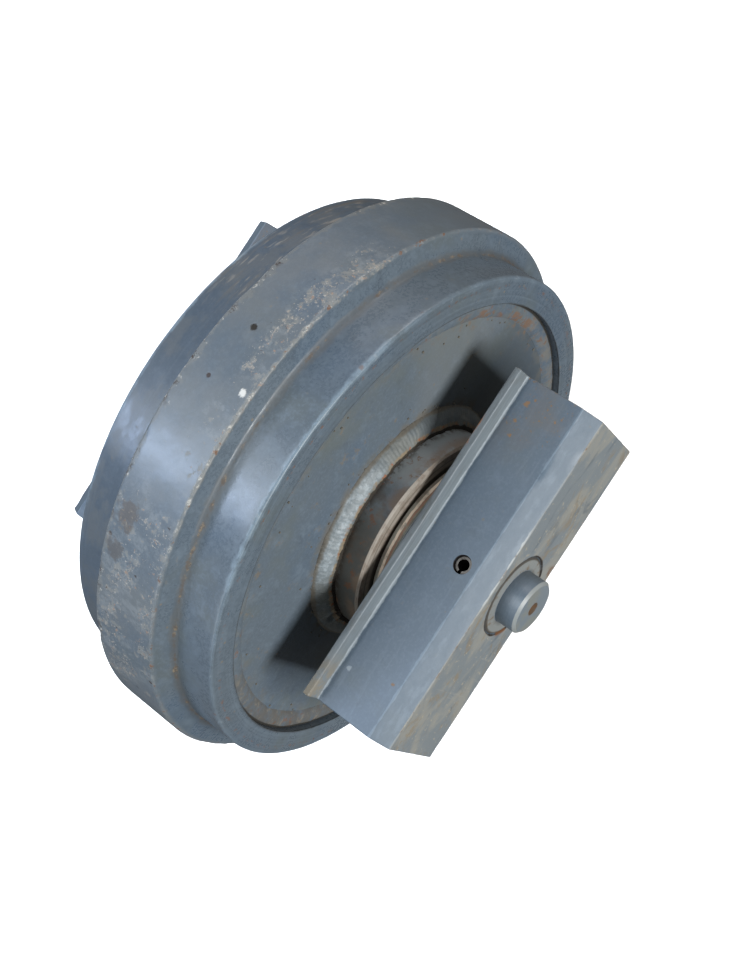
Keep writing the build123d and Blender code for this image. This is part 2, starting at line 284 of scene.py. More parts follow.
    def done(self):
        """The finished material."""
        inputs = {"Height": self.height, "Distance": 1.0, "Strength": 1.0}
        self.set(self.shader.inputs["Normal"], self.add("ShaderNodeBump", inputs).outputs[0])
        self.set(self.shader.inputs["Base Color"], self.colour)
        self.set(self.shader.inputs["Roughness"], self.roughness)
        self.set(self.shader.inputs["Metallic"], self.metallic)
        return self.material


def painted(name, colour=PAINT, roughness=0.42):
    """Sprayed blue-grey paint: clouded, grainy and a little uneven, with specks of mud."""
    look = Look(name, colour, roughness)
    look.coat((look.patches(9, 0.42, 0.62, 3, 0.55), 0.7), PAINT_COOL)
    look.coat((look.patches(22, 0.5, 0.7, 4, 0.6), 0.6), PAINT_GREEN, 0.5)
    look.coat((look.patches(75, 0.5, 0.72, 5, 0.7), 0.35), PAINT_PALE, 0.5)
    look.coat((look.patches(60, 0.56, 0.74, 5, 0.72), 0.35), PAINT_DARK)
    grain = look.noise(430, 4, 0.7)
    look.coat((look.fade(grain, 0.46, 0.66), 0.26), PAINT_PALE, 0.5)
    dusty_flakes = look.flakes(170, look.patches(15, 0.45, 0.6, 3, 0.55), 0.74, 0.64)
    look.coat((dusty_flakes, 0.3), srgb(124, 123, 117), 0.7)
    look.coat((look.specks(160, 0.07, 0.2), 0.55), MUD, 0.8, 0.03 * MM)
    look.relief(look.noise(520, 2), 0.014 * MM)
    look.relief(look.noise(60, 3), 0.22 * MM)
    return look


def rim_paint():
    """The rim: scuffed flange, worn and rusty edges, turned side faces."""
    look = painted("rim_paint", roughness=0.27)
    on_flange = look.fade(look.radius, FLANGE_R - 4 * MM, FLANGE_R - 1 * MM)
    coat_running_faces(look, on_flange)
    coat_flange_top(look, on_flange)
    coat_flange_marks(look)
    coat_flange_edges(look)
    coat_flange_roots(look)
    coat_rim_sides(look)
    return look.done()


def coat_running_faces(look, on_flange):
    """Treads and flange, uneven from rolling; the far tread is darker, with streaks at the back."""
    on_tread = look.times(
        look.fade(look.radius, TREAD_R + 4 * MM, TREAD_R + 1 * MM),
        look.fade(look.radius, TREAD_R - 3 * MM, TREAD_R - 1 * MM),
    )
    far = look.fade(look.y, -20 * MM, -30 * MM)
    mottled = look.patches(34, 0.46, 0.6, 5, 0.68, look.stretch(1, 1.6, 1))
    look.coat((on_tread, far, 0.6), srgb(78, 90, 104), 0.3)
    look.coat((on_tread, far, mottled, 0.5), srgb(100, 105, 108), 0.5)
    look.relief(look.times(look.either(on_flange, on_tread), look.noise(15, 2)), 1.1 * MM)
    wiped = look.fade(look.turned_noise(420, 6, 3), 0.5, 0.68)
    look.coat((on_tread, wiped, 0.07), PAINT_PALE, 0.3)
    at_back = look.band(look.turn, -150, -30, 20)
    streaked = look.times(on_tread, far, at_back, look.patches(21, 0.32, 0.52, 4, 0.6))
    brown = look.fade(look.turned_noise(260, 30, 5), 0.46, 0.62)
    chalky = look.fade(look.turned_noise(520, 80, 5), 0.56, 0.66)
    look.coat((streaked, brown, 0.55), srgb(112, 106, 97), 0.6)
    look.coat((streaked, chalky, 0.55), srgb(158, 153, 145), 0.7)


def coat_flange_top(look, on_flange):
    """The flange's top: clouded, scuffed, and covered with chalky and rusty flakes in places."""
    look.coat((on_flange, 0.4), srgb(108, 118, 127), 0.36)
    clouds = look.patches(17, 0.42, 0.64, 5, 0.66)
    look.coat((on_flange, clouds, 0.4), srgb(118, 121, 121), 0.5)

    # flakes lie densest along the near edge and in a patch further down
    by_near_edge = look.times(
        look.band(look.y, 12 * MM, 27 * MM, 14 * MM), look.band(look.turn, -34, 8, 14)
    )
    further_down = look.times(
        look.band(look.y, -20 * MM, 22 * MM, 8 * MM), look.band(look.turn, 24, 60, 12), 0.95
    )
    elsewhere = look.times(look.patches(13, 0.5, 0.66, 4, 0.6), 0.4)
    densest = look.times(look.band(look.y, 10 * MM, 27 * MM, 9 * MM), look.band(look.turn, -36, -19, 9))
    zone = look.either(by_near_edge, further_down, elsewhere)
    zone = look.times(zone, look.patches(48, 0.36, 0.6, 4, 0.62))
    zone = look.plus(zone, look.times(densest, look.patches(60, 0.34, 0.56, 4, 0.62), 0.55))
    scuffed = look.times(
        look.either(further_down, by_near_edge),
        look.patches(80, 0.46, 0.62, 5, 0.7, look.stretch(1, 0.6, 1)),
        look.patches(300, 0.36, 0.54, 4, 0.7),
    )
    look.coat((on_flange, scuffed, 0.5), srgb(140, 147, 152), 0.5)
    flake_coats = (  # scale, rare, common, share, colour, roughness and height of each
        (150, 0.72, 0.5, 0.55, srgb(138, 138, 134), 0.65, 0),
        (330, 0.73, 0.57, 0.75, srgb(160, 154, 146), 0.75, 0.05 * MM),
        (640, 0.74, 0.6, 0.8, srgb(186, 182, 174), 0.8, 0.05 * MM),
        (290, 0.75, 0.6, 0.75, srgb(158, 134, 118), 0.8, 0.04 * MM),
        (210, 0.73, 0.655, 0.8, RUST_DARK, 0.9, -0.1 * MM),
    )
    for scale, rare, common, share, colour, roughness, height in flake_coats:
        look.coat((on_flange, look.flakes(scale, zone, rare, common), share), colour, roughness, height)
    look.coat((on_flange, look.specks(70, 0.05, 0.14), 0.8), RUST_DARK, 0.9, -0.2 * MM)


def coat_flange_marks(look):
    """Single marks on the flange's top: a blob of paint, a pit and two rusty patches."""

    def on_top(turn, along):
        return FLANGE_R * sin(radians(turn)), along * MM, FLANGE_R * cos(radians(turn))

    look.coat(look.spot(on_top(-4.6, 19.6), 3.2 * MM, 0.7), srgb(222, 222, 218), 0.6, 0.3 * MM)
    look.coat(look.spot(on_top(-14.8, -2.9), 3.0 * MM), GRIME_AND_SHADE, 0.9, -0.6 * MM)
    look.coat((look.spot(on_top(23.7, -12.1), 12 * MM, 1.4), 0.55), srgb(84, 72, 62), 0.7)
    look.coat((look.spot(on_top(31, -15), 9 * MM, 1.4), 0.5), srgb(80, 70, 62), 0.7)


def coat_flange_edges(look):
    """The flange's far edge is pitted and rusty, and the near one is rubbed pale."""
    far_edge = look.ring_line(FLANGE_R, -FLANGE_TOP_Y, 4.5 * MM, 1.2, 120, look.y)
    broken = look.patches(34, 0.45, 0.58)
    look.coat((far_edge, 0.5), srgb(124, 126, 124), 0.6)
    look.coat((far_edge, broken, look.patches(240, 0.5, 0.58, 4, 0.7), 0.8), RUST_DARK, 0.9, -0.2 * MM)
    look.coat((far_edge, broken, look.patches(330, 0.57, 0.63, 4, 0.7)), CHALK, 0.8)
    near_edge = look.ring_line(FLANGE_R, FLANGE_TOP_Y, 2.1 * MM, 1.2, 150, look.y)
    rubbed = look.blend(look.band(look.turn, -14, 16, 14), 0.18, 0.95)
    look.coat((near_edge, rubbed, 0.6), srgb(138, 138, 134), 0.6)
    look.coat((near_edge, rubbed, look.patches(300, 0.5, 0.58, 4, 0.7), 0.85), CHALK, 0.6)
    look.coat((near_edge, look.patches(210, 0.56, 0.64, 4, 0.7), 0.8), RUST, 0.85)


def coat_flange_roots(look):
    """Dust in both roots of the flange, with a thin broken line of rust."""
    look.coat((look.ring_line(TREAD_R, FLANGE_ROOT_Y, 5 * MM, 0.6, 60), 0.4), srgb(100, 99, 95), 0.85)
    root = look.ring_line(TREAD_R, FLANGE_ROOT_Y, 1.8 * MM, 1.0, 130)
    broken = look.patches(38, 0.4, 0.56)
    look.coat((root, broken, 0.7), srgb(106, 92, 78), 0.9)
    look.coat((root, broken, look.patches(170, 0.54, 0.6, 4, 0.7), 0.6), BEIGE, 0.9)


def coat_rim_sides(look):
    """Side faces: turning marks, a ring of rust dots, a painted shade line at the bore, a painted highlight
    over rubbed paint on the rounded outer edge.
    """
    on_face = look.times(
        look.fade(look.along, RIM_FACE_Y - 1 * MM, RIM_FACE_Y - 0.3 * MM),
        look.fade(look.radius, TREAD_R, TREAD_R - 3 * MM),
    )
    marks = look.turned_noise(900, 5, 2)
    look.coat((on_face, look.fade(marks, 0.5, 0.75), 0.3), PAINT_PALE)
    look.coat((on_face, look.fade(marks, 0.5, 0.25), 0.3), PAINT_DARK)
    look.relief(look.times(on_face, marks), 0.03 * MM)
    dots = look.times(
        look.band(look.radius, TREAD_R - 7.4 * MM, TREAD_R - 6 * MM, 1.2 * MM),
        look.patches(260, 0.55, 0.62, 4, 0.7),
    )
    look.coat((on_face, dots, 0.6), RUST, 0.85)
    # painted shade: a dark line where the face meets the recessed bore wall
    look.coat((look.ring_line(RIM_BORE_R, RIM_FACE_Y, 1.1 * MM, 0.6), 0.6), GRIME_AND_SHADE, 0.8)
    # painted highlight: a paler, bluer line along part of the rounded outer edge, over rubbed paint
    rounded = look.ring_line(TREAD_R - 0.7 * MM, RIM_FACE_Y - 0.7 * MM, 3.2 * MM, 0.5)
    rubbed = look.blend(look.band(look.turn, -24, 22, 16), 0.15, 0.65)
    look.coat((rounded, rubbed, look.patches(75, 0.3, 0.52, 5, 0.7)), srgb(134, 153, 168), 0.4)
    look.coat((rounded, look.patches(150, 0.6, 0.7, 4, 0.7), 0.5), srgb(160, 168, 174), 0.4)
    look.coat((rounded, look.specks(120, 0.1, 0.3), 0.5), RUST, 0.8)


def web_paint():
    """Web plates: clouded flat paint, dusty beside both welds, with a band of painted light and painted
    shade at the back.
    """
    look = painted("web_paint", roughness=0.5)
    look.coat((look.patches(14, 0.46, 0.62, 4, 0.6), 0.6), srgb(98, 106, 106), 0.55)
    look.coat((look.patches(85, 0.6, 0.7, 5, 0.7), 0.5), srgb(128, 112, 88), 0.7)
    look.coat((look.specks(110, 0.05, 0.16), 0.3), RUST, 0.8)
    # painted light: a paler band partway round
    look.coat((look.band(look.turn, -68, -48, 14), 0.4), srgb(120, 124, 125), 0.6)
    # painted shade: darker at the back
    look.coat((look.band(look.turn, -140, -90, 16), 0.7), srgb(72, 81, 88), 0.55)
    by_hub = look.fade(look.radius, HUB_WELD_R + 9 * MM, HUB_WELD_R)
    look.coat((by_hub, look.patches(55, 0.42, 0.6), 0.6), srgb(108, 98, 80), 0.75)
    by_rim = look.fade(look.radius, RIM_WELD_R - 12 * MM, RIM_WELD_R)
    look.coat((by_rim, look.patches(70, 0.45, 0.65), 0.45), srgb(112, 108, 98), 0.75)
    rusty = look.times(by_rim, look.band(look.turn, -92, -50, 12))
    look.coat((rusty, look.patches(140, 0.54, 0.64, 4, 0.7), 0.5), srgb(124, 96, 72), 0.8)
    look.relief(look.turned_noise(500, 8), 0.04 * MM)
    return look.done()


def rim_weld_paint():
    """Rim welds: painted over, dusty at the bottom and at the back, with painted shade where they meet the
    bore.
    """
    look = painted("rim_weld_paint", roughness=0.55)
    look.coat((look.patches(90, 0.45, 0.62), 0.5), srgb(112, 114, 110), 0.7)
    low = look.band(look.turn, 66, 128, 12)
    look.coat((low, look.patches(60, 0.34, 0.58, 5, 0.66), 0.75), srgb(94, 90, 84), 0.85, 0.1 * MM)
    look.coat((low, look.patches(180, 0.56, 0.64, 5, 0.7), 0.6), srgb(132, 126, 116), 0.85, 0.1 * MM)
    back = look.band(look.turn, -160, -92, 14)
    look.coat((back, look.patches(75, 0.46, 0.62, 5, 0.7), 0.6), srgb(118, 114, 106), 0.85, 0.1 * MM)
    look.coat((look.patches(150, 0.58, 0.66, 4, 0.7), 0.6), RUST, 0.85)
    rusty = look.times(look.band(look.turn, -86, -60, 8), look.band(look.radius, 159 * MM, 164 * MM, 2 * MM))
    look.coat((rusty, look.patches(130, 0.44, 0.56, 4, 0.7), 0.75), srgb(122, 92, 68), 0.85)
    # painted shade in the crevice where the bead meets the bore
    look.coat(look.fade(look.radius, RIM_BORE_R - 2.4 * MM, RIM_BORE_R - 1.4 * MM), GRIME_AND_SHADE, 0.8)
    look.relief(look.noise(800, 3), 0.12 * MM)
    return look.done()


def hub_weld_paint():
    """Hub welds: the crown's outer half carries a painted highlight, and the hub side's toe is rusty, with
    painted shade.
    """
    look = Look("hub_weld_paint", srgb(118, 122, 120), 0.58)
    look.coat(look.patches(55, 0.42, 0.64, 4, 0.55), srgb(104, 112, 116))
    grain = look.noise(820, 4, 0.65)
    # painted highlight: the crown's outer half paler and bluer where light falls on it
    bright = look.times(
        look.band(look.turn, -6, 36, 18), look.band(look.radius, HUB_R + 6 * MM, HUB_R + 13.5 * MM, 2 * MM)
    )
    look.coat((bright, 0.8), srgb(140, 151, 158), 0.5)
    look.coat((bright, look.patches(240, 0.44, 0.62), 0.6), srgb(174, 186, 194), 0.45)
    look.coat((look.fade(grain, 0.5, 0.36), 0.25), srgb(92, 96, 96))
    inner = look.fade(look.shaken(look.radius, 5 * MM, 110), HUB_R + 6.5 * MM, HUB_R + 5 * MM)
    look.coat((inner, look.patches(120, 0.4, 0.56), 0.85), srgb(140, 124, 100), 0.75)
    look.coat((inner, look.patches(160, 0.55, 0.62, 4, 0.7), 0.9), srgb(150, 96, 66), 0.8)
    # painted shade in the crevice at the hub side's toe
    inner_toe = look.fade(look.shaken(look.radius, 4 * MM, 140), HUB_R + 3.6 * MM, HUB_R + 2.6 * MM)
    look.coat(inner_toe, srgb(52, 47, 40), 0.85)
    outer_toe = look.fade(look.radius, HUB_WELD_R - 2.2 * MM, HUB_WELD_R - 0.8 * MM)
    look.coat((outer_toe, 0.65), srgb(104, 94, 78), 0.8)
    look.relief(look.noise(260, 3), 0.3 * MM)
    look.relief(grain, 0.08 * MM)
    return look.done()


def hub_finish():
    """The hub: oily, browned side with painted light and shade, and an end face worn in rings."""
    look = painted("hub_paint", srgb(116, 118, 113), 0.45)
    look.coat((look.patches(46, 0.45, 0.6, 4, 0.62), 0.8), srgb(114, 126, 135), 0.4)
    # painted light: a paler band on one part of the side
    look.coat((look.band(look.turn, -120, -22, 12), 0.7), srgb(150, 157, 160), 0.45)
    # painted shade: darker round the other part of the side
    look.coat((look.band(look.turn, 14, 150, 22), 0.85), srgb(75, 74, 67), 0.5)
    smeared = look.times(
        look.band(look.turn, -4, 34, 10), look.patches(34, 0.44, 0.6, 4, 0.62, look.stretch(1, 0.5, 1))
    )
    look.coat((smeared, 0.7), srgb(84, 68, 54), 0.6)
    near_weld = look.fade(look.along, WEB_FACE_Y + 14 * MM, WEB_FACE_Y + 8 * MM)
    look.coat((near_weld, look.patches(130, 0.42, 0.54, 4, 0.7), 0.8), srgb(60, 52, 42), 0.7)
    near_end = look.fade(look.along, HUB_END_Y - 13 * MM, HUB_END_Y - 3 * MM)
    look.coat((near_end, look.patches(48, 0.36, 0.58), 0.75), srgb(120, 100, 82), 0.6)
    look.coat((look.patches(90, 0.58, 0.66, 5, 0.7), 0.7), RUST, 0.75)
    on_end = look.fade(look.along, HUB_END_Y - 1.9 * MM, HUB_END_Y - 1.2 * MM)
    streaks = look.turned_noise(700, 12, 3)
    look.coat(on_end, srgb(152, 145, 136), 0.5)
    look.coat((on_end, look.patches(90, 0.44, 0.6), 0.7), srgb(116, 102, 90), 0.6)
    look.coat((on_end, look.fade(streaks, 0.5, 0.66), 0.5), srgb(172, 162, 152), 0.42)
    look.coat((on_end, look.fade(streaks, 0.46, 0.32), 0.45), srgb(92, 80, 70), 0.6)
    groove = look.band(look.radius, HUB_R - 7.6 * MM, HUB_R - 6.4 * MM, 0.5 * MM)
    look.coat((on_end, groove, 0.5), srgb(74, 64, 56), 0.7)
    # painted shade on the end face in the gap beside the boss
    by_bore = look.fade(look.radius, HUB_R - 10.5 * MM, HUB_R - 12.5 * MM)
    look.coat((on_end, by_bore, 0.75), srgb(78, 68, 60), 0.6)
    look.relief(look.times(on_end, streaks), 0.08 * MM)
    return look.done()


def block_finish():
    """Guide blocks: painted slide faces with rust spots, scraped lips and a muddy outer face."""
    look = painted("block_paint", srgb(92, 106, 119), 0.44)
    drawn_out = look.stretch(0.07, 1, 1)
    coat_slide_faces(look, drawn_out)
    coat_chamfers(look)
    coat_outer_faces(look)
    coat_lips(look, drawn_out)
    coat_block_edges(look)
    coat_bosses(look)
    coat_pin_holes(look)
    return look.done()


def coat_slide_faces(look, drawn_out):
    """Slide faces: bluer as a painted sky reflection, fine marks along the block, rust towards one end."""
    on_wide = look.times(
        look.fade(look.level, WIDE_FACE_Z - 0.9 * MM, WIDE_FACE_Z - 0.4 * MM),
        look.band(look.along, LIP_WALL_Y + 1.6 * MM, CHAMFER_Y, 0.8 * MM),
    )
    # painted reflection: the slide faces tinted bluer, as the sky shows in them
    look.coat((on_wide, 0.4), srgb(88, 106, 124), 0.4)
    look.coat((on_wide, look.patches(260, 0.54, 0.7, 4, 0.6, drawn_out), 0.16), PAINT_PALE, 0.4)
    rusty_end = look.fade(look.x, -52 * MM, -104 * MM)
    spread = look.patches(30, 0.42, 0.6, 4, 0.6)
    rust_flakes = look.flakes(520, rusty_end, 0.7, 0.6)
    look.coat((on_wide, rusty_end, spread, rust_flakes, 0.85), srgb(146, 112, 70), 0.85, 0.04 * MM)
    look.coat((on_wide, rusty_end, look.patches(24, 0.45, 0.6, 4, 0.55), 0.3), srgb(118, 108, 96), 0.6)
    look.coat((on_wide, look.specks(60, 0.05, 0.1), 0.6), RUST, 0.85)

    # larger rust spots, as x, y and size in mm, and one paint chip
    rust_spots = (
        (-97, 106.5, 1.6),
        (-110, 107, 2.6),
        (-115, 111, 1.2),
        (-109, 131, 1.2),
        (-87, 109, 1.6),
        (89, 136.5, 1.4),
    )
    for x, y, size in rust_spots:
        for side in SIDES.values():
            spot = look.spot((x * MM, side * y * MM, WIDE_FACE_Z), size * MM, 1.3)
            look.coat((spot, 0.75), srgb(150, 114, 72), 0.85)
    look.coat(look.spot((97.5 * MM, 104.3 * MM, WIDE_FACE_Z), 2.2 * MM, 0.6), srgb(146, 158, 168), 0.5)


def coat_chamfers(look):
    """Chamfers: paler and mottled."""
    on_chamfer = look.times(
        look.fade(look.along, CHAMFER_Y, CHAMFER_Y + 1 * MM),
        look.fade(look.level, OUTER_FACE_Z, OUTER_FACE_Z + 0.9 * MM),
    )
    look.coat((on_chamfer, 0.7), srgb(97, 113, 128), 0.4)
    mottled = look.patches(110, 0.5, 0.68, 5, 0.65, look.stretch(0.4, 1, 1))
    look.coat((on_chamfer, mottled, 0.45), srgb(124, 139, 154), 0.42)


def coat_outer_faces(look):
    """Outer faces: dried mud wiped along and across, rust streaks, dirt round the axle."""
    on_outer = look.fade(look.along, BLOCK_OUTER_Y - 0.9 * MM, BLOCK_OUTER_Y - 0.4 * MM)
    look.coat((on_outer, 0.7), srgb(132, 138, 141), 0.6)
    wiped = look.patches(26, 0.44, 0.6, 5, 0.62, look.stretch(0.5, 1, 1), 1.2)
    look.coat((on_outer, wiped, 0.7), srgb(147, 146, 139), 0.7, 0.04 * MM)
    muddy = look.patches(34, 0.52, 0.66, 5, 0.66, look.stretch(0.6, 1, 1), 1.6)
    look.coat((on_outer, muddy, 0.6), MUD, 0.8, 0.04 * MM)
    clean = look.patches(40, 0.56, 0.68, 5, 0.7, look.stretch(0.5, 1, 1.3), 1.0)
    look.coat((on_outer, clean, 0.7), srgb(96, 106, 114), 0.5)
    look.coat((on_outer, look.flakes(300, 0.5, 0.68, 0.58), 0.6), srgb(176, 168, 148), 0.8, 0.04 * MM)
    scuffs = look.patches(320, 0.62, 0.7, 3, 0.6, look.stretch(1, 1, 0.08))
    look.coat((on_outer, scuffs, look.patches(20, 0.5, 0.62, 3, 0.55), 0.25), srgb(160, 160, 154), 0.5)
    for side in SIDES.values():
        streak = look.spot((-27 * MM, side * BLOCK_OUTER_Y, side * -35 * MM), 7.5 * MM, 0.9)
        look.coat((streak, look.patches(160, 0.46, 0.58, 4, 0.7), 0.8), srgb(116, 84, 58), 0.85)
    look.coat(look.ring_line(AXLE_R + 0.6 * MM, BLOCK_OUTER_Y, 1.5 * MM, 0.5), srgb(50, 46, 42), 0.8)
    beside_axle = look.spot((25.8 * MM, BLOCK_OUTER_Y, -16.3 * MM), 8 * MM, 0.9)
    look.coat((beside_axle, look.fade(look.radius, AXLE_R + 4 * MM, AXLE_R + 1 * MM)), RUST, 0.85)


def coat_lips(look, drawn_out):
    """Lips: scraped along, with a painted highlight at the wall's root, muddy at one end."""
    on_lip = look.fade(look.level, WIDE_FACE_Z + 0.6 * MM, WIDE_FACE_Z + 1.6 * MM)
    scraped = look.noise(330, 4, 0.62, drawn_out)
    look.coat((on_lip, 0.85), srgb(118, 127, 133), 0.5)
    look.coat((on_lip, look.fade(scraped, 0.5, 0.64), 0.45), srgb(140, 149, 155), 0.42)
    look.coat((on_lip, look.fade(scraped, 0.46, 0.36), 0.45), srgb(84, 90, 94), 0.5)
    stained = look.patches(120, 0.5, 0.64, 5, 0.7, look.stretch(0.5, 1, 1))
    look.coat((on_lip, stained, 0.4), srgb(96, 95, 91), 0.55)
    by_wall = look.fade(look.along, LIP_WALL_Y - 0.9 * MM, LIP_WALL_Y - 0.2 * MM)
    look.coat((look.times(on_lip, by_wall), 0.4), srgb(122, 132, 139), 0.5)
    muddy_end = look.fade(look.x, 84 * MM, 118 * MM)
    look.coat((on_lip, muddy_end, look.patches(70, 0.36, 0.56), 0.75), srgb(140, 130, 112), 0.8)
    # painted highlight: a bright line in the fillet at the foot of the lip's wall
    wall_root = look.long_line(LIP_WALL_Y + 0.7 * MM, WIDE_FACE_Z + 0.7 * MM, 1.2 * MM, 0.8)
    look.coat((wall_root, 0.6), srgb(166, 178, 186), 0.45)
    inner_edge = look.long_line(BLOCK_INNER_Y, LIP_TOP_Z, 2.0 * MM, 0.9)
    look.coat((inner_edge, look.band(look.x, -83 * MM, -72 * MM, 8 * MM)), RUST_BRIGHT, 0.85)
    wall_edge = look.long_line(LIP_WALL_Y, LIP_TOP_Z, 1.0 * MM, 0.9)
    look.coat((wall_edge, 0.15), srgb(150, 160, 168), 0.45)


def coat_block_edges(look):
    """Long edges and ends: rubbed pale, with rust where the paint is gone."""
    chamfer_edge = look.long_line(CHAMFER_Y, WIDE_FACE_Z, 1.0 * MM, 0.7)
    look.coat((chamfer_edge, 0.5), srgb(136, 152, 168), 0.4)
    outer_edge = look.long_line(BLOCK_OUTER_Y, OUTER_FACE_Z, 1.3 * MM, 0.8)
    rubbed = look.blend(look.band(look.x, -30 * MM, 8 * MM, 20 * MM), 0.15, 0.8)
    look.coat((outer_edge, rubbed), srgb(170, 176, 178), 0.4)
    look.coat((outer_edge, look.patches(90, 0.56, 0.64, 4, 0.7), 0.8), RUST, 0.85)
    at_end = look.fade(look.math("ABSOLUTE", look.x), BLOCK_END_X - 1.1 * MM, BLOCK_END_X - 0.5 * MM)
    look.coat((at_end, look.patches(80, 0.44, 0.62, 4, 0.7), 0.25), srgb(126, 122, 112), 0.7)


def coat_bosses(look):
    """Bosses: stained, with a bright bare ring and a rusty one towards the lip."""
    on_boss = look.times(
        look.fade(look.radius, BOSS_R + 3 * MM, BOSS_R + 1 * MM),
        look.fade(look.along, BLOCK_INNER_Y - 0.1 * MM, BLOCK_INNER_Y - 0.6 * MM),
    )
    look.coat((on_boss, 0.8), srgb(112, 108, 94), 0.55)
    along = look.shaken(look.along, 1.6 * MM, 120)
    in_places = look.patches(70, 0.38, 0.56)
    bare_ring = look.band(along, BLOCK_INNER_Y - 5.3 * MM, BLOCK_INNER_Y - 4 * MM, 0.6 * MM)
    rusty_ring = look.band(along, BLOCK_INNER_Y - 3.2 * MM, BLOCK_INNER_Y - 2.2 * MM, 0.6 * MM)
    look.coat((on_boss, look.patches(100, 0.46, 0.6), 0.7), srgb(88, 78, 68), 0.6)
    look.coat((on_boss, in_places, bare_ring), srgb(206, 190, 172), 0.4, 0.0, 0.3)
    look.coat((on_boss, in_places, rusty_ring, 0.8), srgb(130, 94, 72), 0.7)
    by_lip = look.fade(look.along, BLOCK_INNER_Y - 1.6 * MM, BLOCK_INNER_Y - 0.6 * MM)
    look.coat((on_boss, by_lip, 0.8), srgb(84, 84, 80), 0.7)


def coat_pin_holes(look):
    """Painted shade on the walls of the lock pins' holes."""
    near_side, far_side, edge = 124 * MM, 137.4 * MM, 0.6 * MM
    in_hole = look.times(
        look.fade(look.level, WIDE_FACE_Z - 0.1 * MM, WIDE_FACE_Z - 1.2 * MM),
        look.fade(look.along, near_side, near_side + edge),
        look.fade(look.along, far_side, far_side - edge),
    )
    off_middle = look.math("ABSOLUTE", look.x)
    across = look.fade(off_middle, PIN_HOLE_R + 0.4 * MM, PIN_HOLE_R + 0.1 * MM)
    # painted shade inside the holes
    look.coat((in_hole, across), srgb(44, 40, 38), 0.8)


def axle_finish():
    """The axle: painted stub, paler shoulder, rust and painted shade in the centre hole; bright inside the
    hub.
    """
    look = painted("axle_paint", srgb(122, 134, 145), 0.32)
    turned = look.turned_noise(800, 10, 2)
    look.coat((look.fade(turned, 0.52, 0.7), 0.35), PAINT_PALE, 0.34)
    look.relief(turned, 0.05 * MM)
    on_shoulder = look.times(
        look.fade(look.along, BLOCK_OUTER_Y - 1 * MM, BLOCK_OUTER_Y - 0.3 * MM),
        look.fade(look.radius, STUB_R, STUB_R + 0.8 * MM),
    )
    look.coat((on_shoulder, 0.7), srgb(142, 143, 138), 0.6)
    look.coat((on_shoulder, look.patches(120, 0.5, 0.64), 0.7), srgb(112, 96, 76), 0.75)
    by_bore = look.fade(look.radius, AXLE_R - 2.6 * MM, AXLE_R - 1.2 * MM)
    in_sight = look.fade(look.along, BLOCK_OUTER_Y - 2 * MM, BLOCK_OUTER_Y - 1 * MM)
    look.coat((by_bore, in_sight, 0.8), srgb(66, 58, 48), 0.8)
    on_end = look.fade(look.along, STUB_END_Y - 0.5 * MM, STUB_END_Y - 0.2 * MM)
    look.coat((on_end, 0.7), srgb(121, 131, 139), 0.5)
    look.coat((on_end, look.patches(60, 0.46, 0.62), 0.5), srgb(134, 134, 122), 0.6)
    rounded = look.times(
        look.fade(look.along, STUB_END_Y - 2.4 * MM, STUB_END_Y - 1.8 * MM),
        look.fade(look.radius, STUB_R - 2.1 * MM, STUB_R - 1.7 * MM),
    )
    look.coat((rounded, 0.7), srgb(158, 162, 160), 0.4)
    in_centre = look.times(
        look.fade(look.radius, 5.6 * MM, 4.4 * MM),
        look.fade(look.along, STUB_END_Y - 12 * MM, STUB_END_Y - 11 * MM),
    )
    look.coat(in_centre, srgb(106, 88, 70), 0.8)
    look.coat((in_centre, look.patches(260, 0.44, 0.56, 3, 0.55)), srgb(114, 86, 62), 0.8)
    # painted shade, darkest in the middle of the centre hole
    deepest = look.times(in_centre, look.fade(look.radius, 3.4 * MM, 1.6 * MM))
    look.coat(look.fade(deepest, 0.1, 0.9), srgb(56, 40, 30), 0.8)
    inside = look.fade(look.along, BLOCK_OUTER_Y - 6 * MM, BLOCK_OUTER_Y - 9 * MM)
    look.coat(inside, srgb(150, 150, 148), 0.28, 0.0, 0.9)
    return look.done()


def metal(name, colour, dull, roughness, turned=False):
    """Bare metal with a grain, duller patches and small stains."""
    look = Look(name, colour, roughness, 0.9)
    grain = look.turned_noise(900, 20, 2) if turned else look.noise(900, 2)
    look.coat((look.patches(70, 0.45, 0.65, 4, 0.62), 0.7), dull, roughness + 0.2, 0.0, 0.6)
    look.coat((look.fade(grain, 0.5, 0.7), 0.3), dull, roughness + 0.1)
    look.coat(look.specks(180, 0.08), RUST_DARK, 0.8, -0.03 * MM, 0.0)
    look.relief(grain, 0.04 * MM)
    return look.done()


def rubber(name):
    """Black rubber with a dusty bloom."""
    look = Look(name, srgb(26, 26, 27), 0.62)
    look.coat((look.patches(90, 0.5, 0.7), 0.5), srgb(52, 51, 49), 0.8)
    look.coat(look.specks(260, 0.1), srgb(92, 86, 78), 0.9)
    look.relief(look.noise(1200, 2), 0.03 * MM)
    return look.done()


# ---------------------------------------------------------------- geometry


def evenly(points, count):
    """A line of points as count points, evenly spaced along it."""
    reach = np.concatenate([[0], np.cumsum(np.linalg.norm(np.diff(points, axis=0), axis=1))])
    stops = np.linspace(0, reach[-1], count)
    return np.column_stack([np.interp(stops, reach, points[:, axis]) for axis in range(2)])


def filled_in(section, step):
    """The closed section with more points on its long straight runs."""
    points = []
    for start, end in zip(section, np.roll(section, -1, axis=0)):
        hidden = max(start[0], end[0]) <= RIM_BORE_R + 0.1 * MM
        count = 1 if hidden else max(1, int(np.ceil(np.linalg.norm(end - start) / step)))
        points += [start + (end - start) * share / count for share in range(count)]
    return np.array(points)


def bumps(points, scale, seed):
    """Smooth noise from -1 to 1 at each point."""
    shift = Vector((seed * 7.3, seed * 3.1, seed * 5.7))
    values = [noise.noise(Vector(point) * scale + shift) for point in points.reshape(-1, 3)]
    return np.array(values).reshape(points.shape[:-1])


